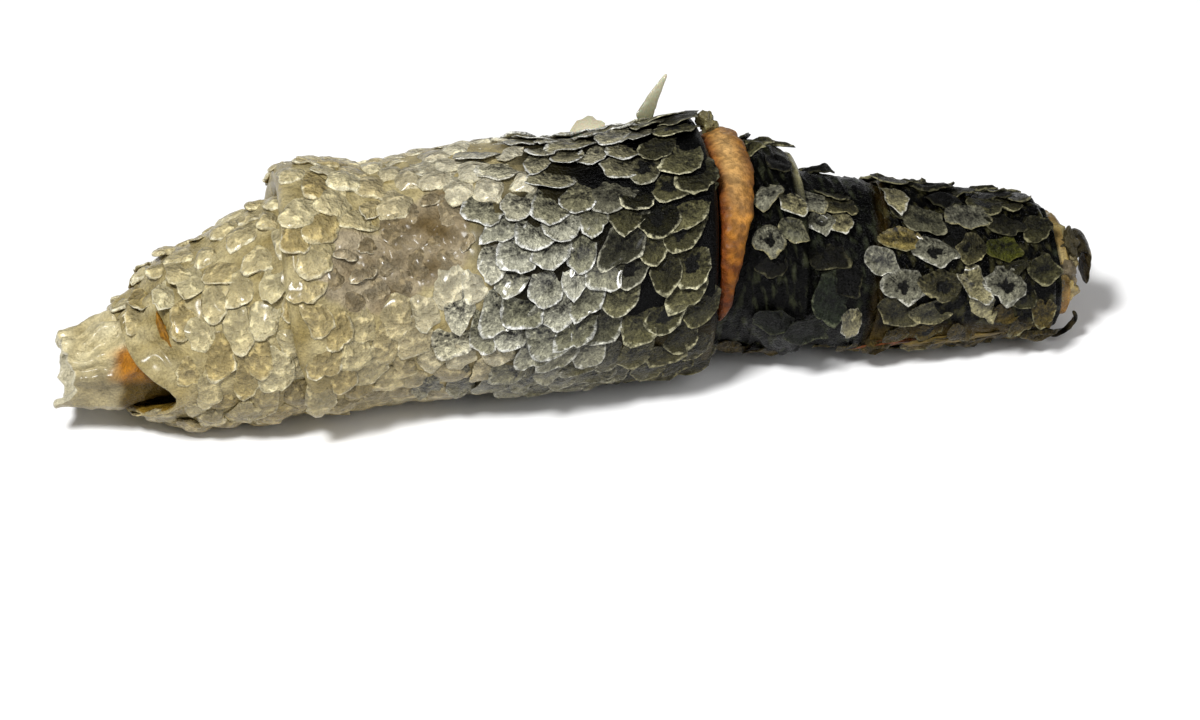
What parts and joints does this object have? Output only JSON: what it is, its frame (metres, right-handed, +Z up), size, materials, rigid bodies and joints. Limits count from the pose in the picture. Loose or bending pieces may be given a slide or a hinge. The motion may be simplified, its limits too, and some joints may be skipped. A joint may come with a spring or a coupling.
{
  "type": "rolled dried fish skin",
  "caption": "Dried fish skin wound into a tapered roll, cream at the belly end and black at the back end, with an amber strip of flesh between its layers.",
  "frame": {"origin": "under the middle of the roll's box, on the surface it lies on", "axes": "+X along the roll from its cream belly end to its black back end, +Y away from the shown side, +Z up"},
  "size_m": [0.1416, 0.0356, 0.0337],
  "materials": {
    "cream_skin": "waxy translucent dried belly skin",
    "belly_skin": "waxy dried skin under merged cream scales",
    "silver_skin": "dried skin under pearly silver to olive scales",
    "black_skin": "glossy black dried back skin with pale scale rims",
    "amber_flesh": "dried waxy amber flesh with a fine grain",
    "fin": "thin pale translucent fin and scale"
  },
  "bodies": {
    "root": {"inner_roll": "cream_skin", "under_wrap": "belly_skin", "outer_wrap": "silver_skin", "shoulder_band": "black_skin", "tail_wrap": "black_skin", "flesh_strip": "amber_flesh", "end_curl": "black_skin", "end_hook": "black_skin", "fin_ray": "fin"}
  },
  "joints": []
}
